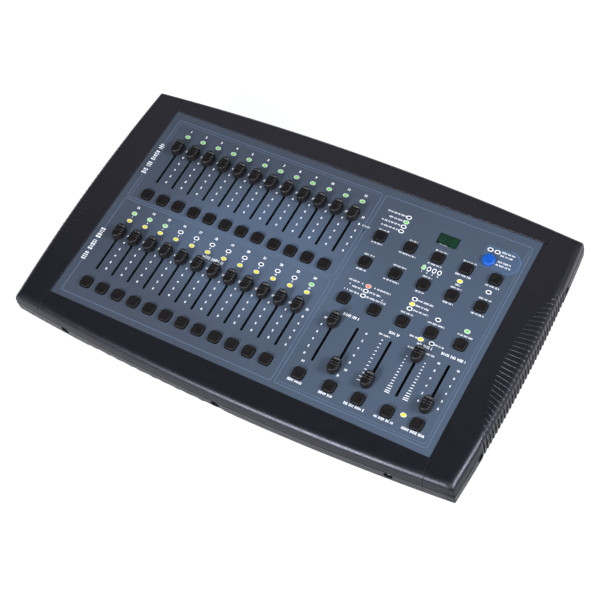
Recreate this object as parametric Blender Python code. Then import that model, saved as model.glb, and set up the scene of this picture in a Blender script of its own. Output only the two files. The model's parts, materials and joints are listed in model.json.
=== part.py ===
"""Lighting control desk: two banks of twelve channel faders, a master section, keys, a display and rear sockets.

Sizes are written in millimetres and turned into metres once, when a mesh is made. Most parts are laid out in
the sloping deck's own axes: x across from the desk's middle, y back from the face panel's front edge and z up
from the panel's face. The base parts are laid out level, from the point under the panel's front edge.
"""

import math

import bmesh
import bpy
from mathutils import Euler, Matrix, Vector

MM = 0.001
GAP = 0.3

# The face panel and the slope it lies at.
PANEL_WIDTH = 442.5
PANEL_DEPTH = 258.3
PANEL_THICK = 1.5
HALF_PANEL = PANEL_WIDTH / 2
DECK_SLOPE = math.radians(7)
DECK_FRONT_HEIGHT = 50.0

# The plastic frame round the panel: a shell with a rounded shoulder and a skirt.
FRAME_TOP = 1.0
FRAME_SHELL = 3.0
SKIRT_DROP = 26.0
SIDE_MIDDLE = 263.0
SIDE_FRONT = 257.0
SIDE_REAR = 257.4
FRONT_MIDDLE = -32.8
FRONT_CORNER = -21.7
REAR_MIDDLE = 288.5
REAR_CORNER = 277.2
CORNER_CUT = 1.2
SHOULDER_FRONT = 9.8
SHOULDER_REAR = 8.0
SEAM_X = HALF_PANEL + 3.5

# Faders: a 45 mm travel at a 20 mm pitch.
TRAVEL = 45.0
CHANNELS = 12
PITCH = 20.0
FIRST_CHANNEL = 30.0 - HALF_PANEL
SLOT_WIDTH = 3.0
LEVER_LENGTH = 4.8
LEVER_THICK = 1.4
LEVER_FOOT = -12.5
SLOT_LENGTH = TRAVEL + LEVER_LENGTH + 2.0
BANK_A_Y = 190.1
BANK_B_Y = 69.25
MASTERS = {
    "master_a_fader": (292.3 - HALF_PANEL, 1),
    "master_b_fader": (317.0 - HALF_PANEL, -1),
    "fade_fader": (353.8 - HALF_PANEL, -1),
    "speed_fader": (385.3 - HALF_PANEL, 1),
    "audio_fader": (417.0 - HALF_PANEL, -1),
}
CAP_WIDTH = 11.7
CAP_LENGTH = 19.4
CAP_BASE = 2.0
CAP_TOP = 10.0
CAP_SADDLE = 2.0
CAP_SADDLE_REACH = 7.5

# Keys, the round button and the display.
KEY_SIZE = 12.4
KEY_HOLE = 13.4
KEY_CORNER = 2.4
KEY_TOP = 3.0
KEY_WEB = (-5.5, -3.5)
KEY_WEB_DEPTH = 8.0
FLASH_A_Y = 146.4
FLASH_B_Y = 25.4
FUNCTION_X = [x - HALF_PANEL for x in (287.8, 322.2, 353.8, 385.3, 417.0)]
FUNCTION_Y = (199.8, 165.6, 119.2, 25.4)
BUTTON_CENTRE = (401.2 - HALF_PANEL, 217.8)
BUTTON_RADIUS = 6.7
BUTTON_PROFILE = ((8.4, -5.5), (8.4, -3.5), (BUTTON_RADIUS, -3.5), (BUTTON_RADIUS, 2.6), (5.4, 3.6))
DISPLAY_CENTRE = (353.8 - HALF_PANEL, 222.8)
DISPLAY_SIZE = (22.5, 13.0)
MICROPHONE = (268.3 - HALF_PANEL, 200.3)

# Circuit boards under the panel.
BOARD_TOP = -18.0
BOARD_THICK = 1.6
FADER_BODY_TOP = -9.0
FADER_BODY = (9.0, 60.0)
FADER_GROOVE = (2.8, -14.0)
KEY_SWITCH = 6.0
KEY_SWITCH_TOP = -8.0
POST_RADIUS = 2.5
POST_INSET = (3.5, 5.0)
BOARD_SIDE = 16.0
BOARD_FRONT = 8.0
BOARD_REAR = 34.0
BOARD_SPACING = 7.5
MASTER_BOARD_Y = (14.0, 236.0)
MASTER_POST_Y = (18.0, 108.0, 230.0)

# The level base: a folded tray, a rear panel and four feet.
TRAY_HALF = 240.0
TRAY_FRONT = -8.0
TRAY_REAR = 265.0
TRAY_FLOOR = 7.0
SHEET = 1.5
VENT_SIZE = (60.0, 8.0)
VENT_PLACES = ((-100.0, 122.0), (100.0, 122.0))
FOOT_RADIUS = 9.0
FOOT_PLACES = {
    "foot_front_left": (-215, 15),
    "foot_front_right": (215, 15),
    "foot_rear_left": (-215, 244),
    "foot_rear_right": (215, 244),
}
REAR_FACE = TRAY_REAR + GAP + SHEET
SOCKET_Z = 40.0

# The power switch: widths, heights and depths.
SWITCH_X = -205.0
SWITCH_BODY = (13.4, 20.4, 17.0)
SWITCH_BEZEL = (17.0, 24.0, 1.8)
ROCKER_WELL = (11.0, 17.8, 8.0)
ROCKER_WIDTH = 10.0
ROCKER_PROFILE = ((-2.0, -7.4), (-2.0, 7.4), (5.2, 7.4), (3.4, 0.0), (5.2, -7.4))
ROCKER_TILT = math.radians(10)

# The sockets: bodies behind the rear panel (width, height, depth), round bosses through it and their hollows.
DMX_X = 150.0
DMX_FLANGE = (26.0, 31.0, 2.0)
DMX_BARREL = 11.7
DMX_BARREL_DEPTH = 20.0
DMX_GROOVE = (9.6, 7.2)
DMX_GROOVE_DEPTH = 12.0
MIDI_X = {"midi_in_socket": -100.0, "midi_thru_socket": -65.0, "midi_out_socket": -30.0}
MIDI_BODY = (20.0, 20.0, 13.0)
MIDI_BOSS = 7.6
MIDI_BOSS_REACH = 0.6
MIDI_RECESS = 6.6
MIDI_RECESS_DEPTH = 1.2
INLET_X = -168.0
INLET_BODY = (11.0, 11.0, 13.0)
INLET_BOSS = 5.0
INLET_BOSS_REACH = 1.6
INLET_RING = (2.9, 1.05)
INLET_RING_DEPTH = 7.0
AUDIO_X = 60.0
AUDIO_BODY = (12.0, 14.0, 12.0)
AUDIO_SLEEVE = 4.2
AUDIO_SLEEVE_REACH = 8.0
AUDIO_BORE = 1.7
AUDIO_BORE_DEPTH = 6.0
CUT_PAST = 11.0

# name: colour (linear RGB), roughness, metallic
FINISHES = {
    "panel_blue": ((0.075, 0.105, 0.175), 0.45, 0.2),
    "frame_black": ((0.018, 0.018, 0.023), 0.38, 0.0),
    "cap_black": ((0.012, 0.010, 0.010), 0.5, 0.0),
    "sheet_black": ((0.02, 0.02, 0.022), 0.45, 0.6),
    "window_green": ((0.01, 0.05, 0.025), 0.1, 0.0),
    "board_green": ((0.02, 0.12, 0.05), 0.5, 0.0),
    "button_blue": ((0.01, 0.08, 0.8), 0.3, 0.0),
    "socket_black": ((0.02, 0.02, 0.02), 0.4, 0.0),
    "socket_metal": ((0.6, 0.6, 0.58), 0.3, 1.0),
    "foot_rubber": ((0.015, 0.015, 0.015), 0.9, 0.0),
}


# ---- scene helpers -------------------------------------------------------------------------------------------


def clear_scene():
    for obj in list(bpy.data.objects):
        bpy.data.objects.remove(obj, do_unlink=True)


def material(name):
    found = bpy.data.materials.get(name)
    if found:
        return found
    colour, roughness, metallic = FINISHES[name]
    made = bpy.data.materials.new(name)
    made.use_nodes = True
    shader = made.node_tree.nodes["Principled BSDF"]
    shader.inputs["Base Color"].default_value = (*colour, 1)
    shader.inputs["Roughness"].default_value = roughness
    shader.inputs["Metallic"].default_value = metallic
    made.diffuse_color = (*colour, 1)
    return made


def empty(name, parent=None):
    obj = bpy.data.objects.new(name, None)
    bpy.context.scene.collection.objects.link(obj)
    obj.parent = parent
    return obj


def mesh_from(name, bm):
    """A mesh in metres from a bmesh in millimetres, smooth over shallow edges."""
    bmesh.ops.recalc_face_normals(bm, faces=bm.faces)
    bmesh.ops.scale(bm, vec=(MM, MM, MM), verts=bm.verts)
    mesh = bpy.data.meshes.new(name)
    bm.to_mesh(mesh)
    bm.free()
    mesh.shade_smooth()
    mesh.set_sharp_from_angle(angle=math.radians(32))
    return mesh


def place(name, mesh, finish, parent, at=(0, 0, 0)):
    obj = bpy.data.objects.new(name, mesh)
    bpy.context.scene.collection.objects.link(obj)
    obj.parent = parent
    obj.location = [value * MM for value in at]
    if finish:
        if not mesh.materials:
            mesh.materials.append(material(finish))
    else:
        obj.hide_render = True
        obj.display_type = "WIRE"
    return obj


def boolean(obj, other, operation):
    modifier = obj.modifiers.new(other.name, "BOOLEAN")
    modifier.operation = operation
    modifier.object = other
    modifier.solver = "EXACT"


def applied(obj, name):
    """The object's mesh with its modifiers applied."""
    graph = bpy.context.evaluated_depsgraph_get()
    mesh = bpy.data.meshes.new_from_object(obj.evaluated_get(graph))
    mesh.name = name
    return mesh


# ---- shape helpers, all in millimetres -----------------------------------------------------------------------


def loft(bm, loops, closed_section=False):
    """Skins point loops of equal length, and caps both ends unless the section closes on itself."""
    rings = [[bm.verts.new(point) for point in loop] for loop in loops]
    pairs = list(zip(rings, rings[1:]))
    if closed_section:
        pairs.append((rings[-1], rings[0]))
    else:
        bm.faces.new(rings[0][::-1])
        bm.faces.new(rings[-1])
    count = len(loops[0])
    for low, high in pairs:
        for k in range(count):
            after = (k + 1) % count
            bm.faces.new((low[k], low[after], high[after], high[k]))


def prism(bm, outline, low, high):
    loft(bm, [[(x, y, z) for x, y in outline] for z in (low, high)])


def rectangle(x, y, width, depth):
    return [
        (x - width / 2, y - depth / 2),
        (x + width / 2, y - depth / 2),
        (x + width / 2, y + depth / 2),
        (x - width / 2, y + depth / 2),
    ]


def rounded_rectangle(x, y, width, depth, radius, steps):
    """Anticlockwise, with steps segments to each corner."""
    points = []
    for corner in range(4):
        middle_x = x + (width / 2 - radius) * (1 if corner in (0, 3) else -1)
        middle_y = y + (depth / 2 - radius) * (1 if corner in (0, 1) else -1)
        for step in range(steps + 1):
            angle = math.radians(90) * (corner + step / steps)
            points.append((middle_x + radius * math.cos(angle), middle_y + radius * math.sin(angle)))
    return points


def circle(x, y, radius, sides):
    turn = 2 * math.pi / sides
    return [(x + radius * math.cos(k * turn), y + radius * math.sin(k * turn)) for k in range(sides)]


def box(bm, low, high):
    middle = [(a + b) / 2 for a, b in zip(low, high)]
    outline = rectangle(middle[0], middle[1], high[0] - low[0], high[1] - low[1])
    prism(bm, outline, low[2], high[2])


def rod_back(bm, x, z, radius, front, back, sides):
    """A rod along Y between two Y values."""
    loops = [[(px, y, pz) for px, pz in circle(x, z, radius, sides)] for y in (front, back)]
    loft(bm, loops)


def solid(name, build, finish, parent):
    bm = bmesh.new()
    build(bm)
    return place(name, mesh_from(name, bm), finish, parent)


# ---- frame ---------------------------------------------------------------------------------------------------


def frame_outline():
    """The frame's plan, anticlockwise from the front left, as (x, y, side). Each side is a shallow arc."""
    cut = CORNER_CUT
    points = []
    for step in range(15):
        x = (SIDE_FRONT - cut) * (step / 7 - 1)
        y = FRONT_MIDDLE + (FRONT_CORNER - FRONT_MIDDLE) * (x / SIDE_FRONT) ** 2
        points.append((x, y, "front"))
    side = []
    for step in range(13):
        t = step / 6 - 1
        x = SIDE_MIDDLE + (SIDE_REAR - SIDE_FRONT) / 2 * t - (SIDE_MIDDLE - (SIDE_REAR + SIDE_FRONT) / 2) * t * t
        y = FRONT_CORNER + cut + (REAR_CORNER - FRONT_CORNER - 2 * cut) * (t + 1) / 2
        side.append((x, y))
    points += [(x, y, "right") for x, y in side]
    for step in range(15):
        x = (SIDE_REAR - cut) * (1 - step / 7)
        y = REAR_MIDDLE + (REAR_CORNER - REAR_MIDDLE) * (x / SIDE_REAR) ** 2
        points.append((x, y, "rear"))
    points += [(-x, y, "left") for x, y in reversed(side)]
    return points


def inset(point, distance):
    """The outline point moved inwards, keeping the corners mitred."""
    x, y, _ = point
    middle = (FRONT_MIDDLE + REAR_MIDDLE) / 2
    reach = (REAR_MIDDLE - FRONT_MIDDLE) / 2
    return x * (1 - distance / SIDE_MIDDLE), middle + (y - middle) * (1 - distance / reach)


def opening(point):
    """The matching point on the rectangular opening that holds the face panel."""
    x, y, side = point
    half = HALF_PANEL + GAP
    low = -GAP
    high = PANEL_DEPTH + GAP
    if side == "front":
        return half * x / (SIDE_FRONT - CORNER_CUT), low
    if side == "rear":
        return half * x / (SIDE_REAR - CORNER_CUT), high
    along = (y - FRONT_CORNER - CORNER_CUT) / (REAR_CORNER - FRONT_CORNER - 2 * CORNER_CUT)
    return math.copysign(half, x), low + 4 + (high - low - 8) * along


def shoulder(point):
    """The shoulder's radius: full along the front, tighter to the rear."""
    along = (point[1] - FRONT_MIDDLE) / (REAR_MIDDLE - FRONT_MIDDLE)
    return SHOULDER_FRONT + (SHOULDER_REAR - SHOULDER_FRONT) * along


def frame_ring(bm):
    outline = frame_outline()

    def level(distance, height):
        return [(*inset(p, distance(shoulder(p))), height(shoulder(p))) for p in outline]

    loops = [level(lambda r: 0, lambda r: -SKIRT_DROP)]
    for degrees in (0, 22.5, 45, 67.5, 90):
        angle = math.radians(degrees)
        loops.append(
            level(lambda r: r * (1 - math.cos(angle)), lambda r: FRAME_TOP - r * (1 - math.sin(angle)))
        )
    loops.append([(*opening(p), FRAME_TOP) for p in outline])
    loops.append([(*opening(p), FRAME_TOP - FRAME_SHELL) for p in outline])
    loops.append(level(lambda r: FRAME_SHELL + 0.6 * r, lambda r: FRAME_TOP - FRAME_SHELL))
    loops.append(level(lambda r: FRAME_SHELL, lambda r: FRAME_TOP - r - 0.4 * FRAME_SHELL))
    loops.append(level(lambda r: FRAME_SHELL, lambda r: -SKIRT_DROP))
    loft(bm, loops, closed_section=True)


def frame_pieces(deck):
    """The ring, cut at its four seams into two rails and two cheeks."""
    big = 400
    half_gap = GAP / 2

    def rail_keeper(bm, front):
        low, high = (-big, -half_gap) if front else (PANEL_DEPTH + half_gap, 2 * big)
        box(bm, (-SEAM_X + half_gap, low, -big), (SEAM_X - half_gap, high, big))

    def cheek_cutter(bm, side):
        seam = SEAM_X + half_gap
        outline = [
            (-big, -big),
            (seam, -big),
            (seam, half_gap),
            (0, half_gap),
            (0, PANEL_DEPTH - half_gap),
            (seam, PANEL_DEPTH - half_gap),
            (seam, 2 * big),
            (-big, 2 * big),
        ]
        prism(bm, [(side * x, y) for x, y in outline], -big, big)

    for name, front in (("front_rail", True), ("rear_rail", False)):
        rail = solid(name, frame_ring, "frame_black", deck)
        boolean(rail, solid(name + "_keeper", lambda bm: rail_keeper(bm, front), None, deck), "INTERSECT")
    for name, side in (("left_cheek", -1), ("right_cheek", 1)):
        cheek = solid(name, frame_ring, "frame_black", deck)
        ends = solid(name + "_cutter", lambda bm: cheek_cutter(bm, side), None, deck)
        boolean(cheek, ends, "DIFFERENCE")


# ---- face panel ----------------------------------------------------------------------------------------------


def channel_xs():
    return [FIRST_CHANNEL + PITCH * k for k in range(CHANNELS)]


def slot_places():
    """The middle of every fader slot."""
    banks = [(x, y) for y in (BANK_A_Y, BANK_B_Y) for x in channel_xs()]
    return banks + [(x, BANK_B_Y) for x, _ in MASTERS.values()]


def key_rows():
    rows = {"flash_keys_a": (channel_xs(), FLASH_A_Y), "flash_keys_b": (channel_xs(), FLASH_B_Y)}
    for number, y in enumerate(FUNCTION_Y, start=1):
        rows[f"function_keys_{number}"] = (FUNCTION_X, y)
    return rows


def face_panel(deck):
    def plate(bm):
        prism(bm, rectangle(0, PANEL_DEPTH / 2, PANEL_WIDTH, PANEL_DEPTH), -PANEL_THICK, 0)

    def holes(bm):
        outlines = [rectangle(x, y, SLOT_WIDTH, SLOT_LENGTH) for x, y in slot_places()]
        for xs, y in key_rows().values():
            outlines += [rounded_rectangle(x, y, KEY_HOLE, KEY_HOLE, KEY_CORNER, 1) for x in xs]
        outlines.append(circle(*BUTTON_CENTRE, BUTTON_RADIUS + 0.5, 20))
        outlines.append(rectangle(*DISPLAY_CENTRE, *(size + 2 * GAP for size in DISPLAY_SIZE)))
        outlines.append(circle(*MICROPHONE, 1.0, 8))
        for outline in outlines:
            prism(bm, outline, -PANEL_THICK - 1, 1)

    panel = solid("face_panel", plate, "panel_blue", deck)
    boolean(panel, solid("face_panel_holes", holes, None, deck), "DIFFERENCE")


def display(deck):
    def window(bm):
        prism(bm, rectangle(*DISPLAY_CENTRE, *DISPLAY_SIZE), -PANEL_THICK, 0)

    def module(bm):
        prism(bm, rectangle(*DISPLAY_CENTRE, DISPLAY_SIZE[0] - 1, DISPLAY_SIZE[1] - 1), -9, -PANEL_THICK - GAP)

    solid("display_window", window, "window_green", deck)
    solid("display_module", module, "socket_black", deck)


# ---- moving controls -----------------------------------------------------------------------------------------


def fader_mesh():
    """A cap with a saddle across its top, on a flat lever that reaches down through its slot."""

    def cap_loop(shrink, height):
        outline = rounded_rectangle(0, 0, CAP_WIDTH - 2 * shrink, CAP_LENGTH - 2 * shrink, 5 - shrink, 2)
        right, left = outline[:6], outline[6:]
        waist = CAP_WIDTH / 2 - shrink
        points = right + [(-waist, 2.4), (-waist, -2.4)] + left + [(waist, -2.4), (waist, 2.4)]
        return [(x, y, height(y)) for x, y in points]

    def saddle(y):
        return CAP_TOP - CAP_SADDLE * max(0, 1 - (y / CAP_SADDLE_REACH) ** 2)

    def cap(bm):
        loops = [cap_loop(0, lambda y: CAP_BASE), cap_loop(0, lambda y: saddle(y) - 2)]
        loft(bm, loops + [cap_loop(1.6, saddle)])

    def lever(bm):
        prism(bm, rectangle(0, 0, LEVER_THICK, LEVER_LENGTH), LEVER_FOOT, CAP_BASE + 3)

    body = solid("fader_cap_shape", cap, None, None)
    stem = solid("fader_lever_shape", lever, None, None)
    boolean(body, stem, "UNION")
    return applied(body, "fader")


def faders(deck):
    """One object to each fader, with its origin on its slot's line at the place where it stands."""
    mesh = fader_mesh()
    for bank, y in (("a", BANK_A_Y), ("b", BANK_B_Y)):
        for number, x in enumerate(channel_xs(), start=1):
            name = f"fader_{bank}{number:02d}"
            place(name, mesh, "cap_black", deck, (x, y + TRAVEL / 2, 0))
    for name, (x, end) in MASTERS.items():
        place(name, mesh, "cap_black", deck, (x, BANK_B_Y + end * TRAVEL / 2, 0))


def key_rows_on_webs(deck):
    """Each row of keys is one moulding: caps that stand through the panel, joined by a web under it."""
    for name, (xs, y) in key_rows().items():

        def caps(bm, xs=xs, y=y):
            for x in xs:
                loops = []
                for height, shrink in ((KEY_WEB[0] + 1, 0), (KEY_TOP - 0.9, 0), (KEY_TOP, 0.9)):
                    size = KEY_SIZE - 2 * shrink
                    outline = rounded_rectangle(x, y, size, size, KEY_CORNER - shrink, 1)
                    loops.append([(px, py, height) for px, py in outline])
                loft(bm, loops)

        def web(bm, xs=xs, y=y):
            end = KEY_SIZE / 2 + 1
            half = KEY_WEB_DEPTH / 2
            box(bm, (xs[0] - end, y - half, KEY_WEB[0]), (xs[-1] + end, y + half, KEY_WEB[1]))

        strip = solid(name, web, "cap_black", deck)
        boolean(strip, solid(name + "_caps", caps, None, deck), "UNION")


def fog_button(deck):
    def build(bm):
        loft(bm, [[(x, y, z) for x, y in circle(*BUTTON_CENTRE, radius, 20)] for radius, z in BUTTON_PROFILE])

    solid("fog_button", build, "button_blue", deck)


# ---- circuit boards ------------------------------------------------------------------------------------------


def board(name, deck, extent, slots, keys, posts):
    """A circuit board with its fader bodies, key switches and the posts that it hangs from."""
    low_x, high_x, low_y, high_y = extent

    def plate(bm):
        box(bm, (low_x, low_y, BOARD_TOP - BOARD_THICK), (high_x, high_y, BOARD_TOP))

    def parts(bm):
        root = BOARD_TOP - BOARD_THICK / 2
        half, depth = FADER_GROOVE[0] / 2, FADER_GROOVE[1]
        width = FADER_BODY[0] / 2
        channel = [
            (-width, root),
            (width, root),
            (width, FADER_BODY_TOP),
            (half, FADER_BODY_TOP),
            (half, depth),
            (-half, depth),
            (-half, FADER_BODY_TOP),
            (-width, FADER_BODY_TOP),
        ]
        for x, y in slots:
            ends = (y + FADER_BODY[1] / 2, y - FADER_BODY[1] / 2)
            loft(bm, [[(x + px, end, pz) for px, pz in channel] for end in ends])
        for x, y in keys:
            prism(bm, rectangle(x, y, KEY_SWITCH, KEY_SWITCH), root, KEY_SWITCH_TOP)
        for x, y in posts:
            prism(bm, circle(x, y, POST_RADIUS, 8), root, -PANEL_THICK - GAP)

    made = solid(name, plate, "board_green", deck)
    boolean(made, solid(name + "_parts", parts, None, deck), "UNION")


def boards(deck):
    side, end = POST_INSET
    left, right = FIRST_CHANNEL - BOARD_SIDE, FIRST_CHANNEL + PITCH * (CHANNELS - 1) + BOARD_SIDE
    for name, y, key_y in (("fader_board_a", BANK_A_Y, FLASH_A_Y), ("fader_board_b", BANK_B_Y, FLASH_B_Y)):
        low, high = key_y - BOARD_FRONT, y + BOARD_REAR
        posts = [(x, py) for x in (left + side, right - side) for py in (low + end, high - end)]
        slots = [(x, y) for x in channel_xs()]
        board(name, deck, (left, right, low, high), slots, [(x, key_y) for x in channel_xs()], posts)
    left, right = right + BOARD_SPACING, HALF_PANEL - BOARD_SPACING
    posts = [(x, y) for x in (left + side, right - side) for y in MASTER_POST_Y]
    slots = [(x, BANK_B_Y) for x, _ in MASTERS.values()]
    keys = [(x, y) for x in FUNCTION_X for y in FUNCTION_Y]
    board("master_board", deck, (left, right, *MASTER_BOARD_Y), slots, keys, posts)


# ---- level base ----------------------------------------------------------------------------------------------


def under_deck(y):
    """The height at y just below the frame's shell and the face panel."""
    drop = (FRAME_SHELL - FRAME_TOP + 0.4) / math.cos(DECK_SLOPE)
    return DECK_FRONT_HEIGHT + y * math.tan(DECK_SLOPE) - drop


def base_tray(desk):
    def wedge(bm):
        profile = [
            (TRAY_FRONT, TRAY_FLOOR),
            (TRAY_REAR, TRAY_FLOOR),
            (TRAY_REAR, under_deck(TRAY_REAR)),
            (TRAY_FRONT, under_deck(TRAY_FRONT)),
        ]
        loft(bm, [[(x, y, z) for y, z in profile] for x in (-TRAY_HALF, TRAY_HALF)])

    def inside(bm):
        half = TRAY_HALF - SHEET
        box(bm, (-half, TRAY_FRONT + SHEET, TRAY_FLOOR + SHEET), (half, TRAY_REAR + CUT_PAST, 2 * under_deck(TRAY_REAR)))

    def vents(bm):
        width, depth = VENT_SIZE
        for x, y in VENT_PLACES:
            prism(bm, rounded_rectangle(x, y, width, depth, depth / 2, 4), TRAY_FLOOR - 1, TRAY_FLOOR + SHEET + 1)

    tray = solid("base_tray", wedge, "sheet_black", desk)
    boolean(tray, solid("base_tray_inside", inside, None, desk), "DIFFERENCE")
    boolean(tray, solid("base_tray_vents", vents, None, desk), "DIFFERENCE")


def rear_panel(desk):
    def plate(bm):
        low = (-TRAY_HALF, TRAY_REAR + GAP, TRAY_FLOOR)
        box(bm, low, (TRAY_HALF, REAR_FACE, under_deck(TRAY_REAR)))

    def holes(bm):
        front, back = TRAY_REAR - 1, REAR_FACE + 1
        centred(bm, SWITCH_X, (SWITCH_BODY[0] + 2 * GAP, SWITCH_BODY[1] + 2 * GAP), front, back)
        rod_back(bm, DMX_X, SOCKET_Z, DMX_BARREL + GAP, front, back, 24)
        for x in MIDI_X.values():
            rod_back(bm, x, SOCKET_Z, MIDI_BOSS + GAP, front, back, 20)
        rod_back(bm, INLET_X, SOCKET_Z, INLET_BOSS + GAP, front, back, 16)
        rod_back(bm, AUDIO_X, SOCKET_Z, AUDIO_SLEEVE + GAP, front, back, 16)

    panel = solid("rear_panel", plate, "sheet_black", desk)
    boolean(panel, solid("rear_panel_holes", holes, None, desk), "DIFFERENCE")


def centred(bm, x, size, front, back):
    """A box centred on the sockets' line: size is (width, height)."""
    half_x, half_z = size[0] / 2, size[1] / 2
    box(bm, (x - half_x, front, SOCKET_Z - half_z), (x + half_x, back, SOCKET_Z + half_z))


def ring_hollow(bm, x, radii, depth, sides):
    """A ring-shaped hollow, open at the mouth."""
    outside, inside = radii
    floor, mouth = REAR_FACE - depth, REAR_FACE + CUT_PAST
    loops = []
    for radius, y in ((outside, floor), (outside, mouth), (inside, mouth), (inside, floor)):
        loops.append([(px, y, pz) for px, pz in circle(x, SOCKET_Z, radius, sides)])
    loft(bm, loops, closed_section=True)


def joined(name, x, size, boss, reach, finish, hollow, desk):
    """A socket's body behind the panel with a round boss through it, and its hollow taken out."""
    inner = TRAY_REAR - GAP
    body = solid(name, lambda bm: centred(bm, x, size, inner - size[2], inner), finish, desk)
    nose = lambda bm: rod_back(bm, x, SOCKET_Z, boss, inner - 2, REAR_FACE + reach, 20)
    boolean(body, solid(name + "_boss", nose, None, desk), "UNION")
    boolean(body, solid(name + "_hollow", hollow, None, desk), "DIFFERENCE")


def sockets(desk):
    front = REAR_FACE + GAP

    def flange(bm):
        centred(bm, DMX_X, DMX_FLANGE, front, front + DMX_FLANGE[2])

    def barrel(bm):
        rod_back(bm, DMX_X, SOCKET_Z, DMX_BARREL, TRAY_REAR - DMX_BARREL_DEPTH, front + 1, 24)

    dmx = solid("dmx_socket", flange, "socket_metal", desk)
    boolean(dmx, solid("dmx_barrel", barrel, None, desk), "UNION")
    groove = lambda bm: ring_hollow(bm, DMX_X, DMX_GROOVE, DMX_GROOVE_DEPTH, 24)
    boolean(dmx, solid("dmx_groove", groove, None, desk), "DIFFERENCE")

    for name, x in MIDI_X.items():

        def recess(bm, x=x):
            rod_back(bm, x, SOCKET_Z, MIDI_RECESS, REAR_FACE - MIDI_RECESS_DEPTH, REAR_FACE + CUT_PAST, 20)

        joined(name, x, MIDI_BODY, MIDI_BOSS, MIDI_BOSS_REACH, "socket_black", recess, desk)

    def inlet_ring(bm):
        ring_hollow(bm, INLET_X, INLET_RING, INLET_RING_DEPTH, 16)

    def audio_bore(bm):
        rod_back(bm, AUDIO_X, SOCKET_Z, AUDIO_BORE, REAR_FACE - AUDIO_BORE_DEPTH, REAR_FACE + CUT_PAST, 12)

    joined("dc_inlet", INLET_X, INLET_BODY, INLET_BOSS, INLET_BOSS_REACH, "socket_black", inlet_ring, desk)
    joined("audio_jack", AUDIO_X, AUDIO_BODY, AUDIO_SLEEVE, AUDIO_SLEEVE_REACH, "socket_metal", audio_bore, desk)


def power_switch(desk):
    front = REAR_FACE + GAP

    def body(bm):
        centred(bm, SWITCH_X, SWITCH_BODY, front - SWITCH_BODY[2], front + 1)

    def bezel(bm):
        centred(bm, SWITCH_X, SWITCH_BEZEL, front, front + SWITCH_BEZEL[2])

    def well(bm):
        centred(bm, SWITCH_X, ROCKER_WELL, front - ROCKER_WELL[2], front + CUT_PAST)

    made = solid("power_switch_body", body, "socket_black", desk)
    boolean(made, solid("power_switch_bezel", bezel, None, desk), "UNION")
    boolean(made, solid("power_switch_well", well, None, desk), "DIFFERENCE")

    turn = Matrix.Rotation(ROCKER_TILT, 2)
    tilted = [turn @ Vector(point) for point in ROCKER_PROFILE]
    bm = bmesh.new()
    loft(bm, [[(x, y, z) for y, z in tilted] for x in (-ROCKER_WIDTH / 2, ROCKER_WIDTH / 2)])
    place("power_rocker", mesh_from("power_rocker", bm), "cap_black", desk, (SWITCH_X, TRAY_REAR, SOCKET_Z))


def feet(desk):
    bm = bmesh.new()
    profile = ((FOOT_RADIUS - 1, 0), (FOOT_RADIUS, 1.5), (FOOT_RADIUS, TRAY_FLOOR - GAP))
    loft(bm, [[(x, y, z) for x, y in circle(0, 0, radius, 20)] for radius, z in profile])
    mesh = mesh_from("foot", bm)
    for name, (x, y) in FOOT_PLACES.items():
        place(name, mesh, "foot_rubber", desk, (x, y, 0))


# ---- assembly ------------------------------------------------------------------------------------------------


def stand_centred(desk):
    """Moves the desk so that its box is centred on the origin."""
    bpy.context.view_layer.update()
    graph = bpy.context.evaluated_depsgraph_get()
    corners = []
    for obj in bpy.context.scene.objects:
        if obj.type == "MESH" and not obj.hide_render:
            found = obj.evaluated_get(graph)
            corners += [found.matrix_world @ vertex.co for vertex in found.data.vertices]
    lengths = [corner.y for corner in corners]
    desk.location.y = -(min(lengths) + max(lengths)) / 2


def build_desk():
    clear_scene()
    desk = empty("desk")
    deck = empty("deck", desk)
    deck.location.z = DECK_FRONT_HEIGHT * MM
    deck.rotation_euler = Euler((DECK_SLOPE, 0, 0))
    frame_pieces(deck)
    face_panel(deck)
    display(deck)
    faders(deck)
    key_rows_on_webs(deck)
    fog_button(deck)
    boards(deck)
    base_tray(desk)
    rear_panel(desk)
    sockets(desk)
    power_switch(desk)
    feet(desk)
    stand_centred(desk)


build_desk()
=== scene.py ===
"""Looks for the lighting control desk: mouldings, caps, keys, print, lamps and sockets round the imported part.

Shapes are written in millimetres, either in the sloping deck's axes (x across from the desk's middle, y back from
the face panel's front edge, z up from its face) or level with the base, and turned into metres in the row frame once.
"""

import json
import math
import random

import bmesh
import bpy
from mathutils import Matrix, Vector

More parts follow.
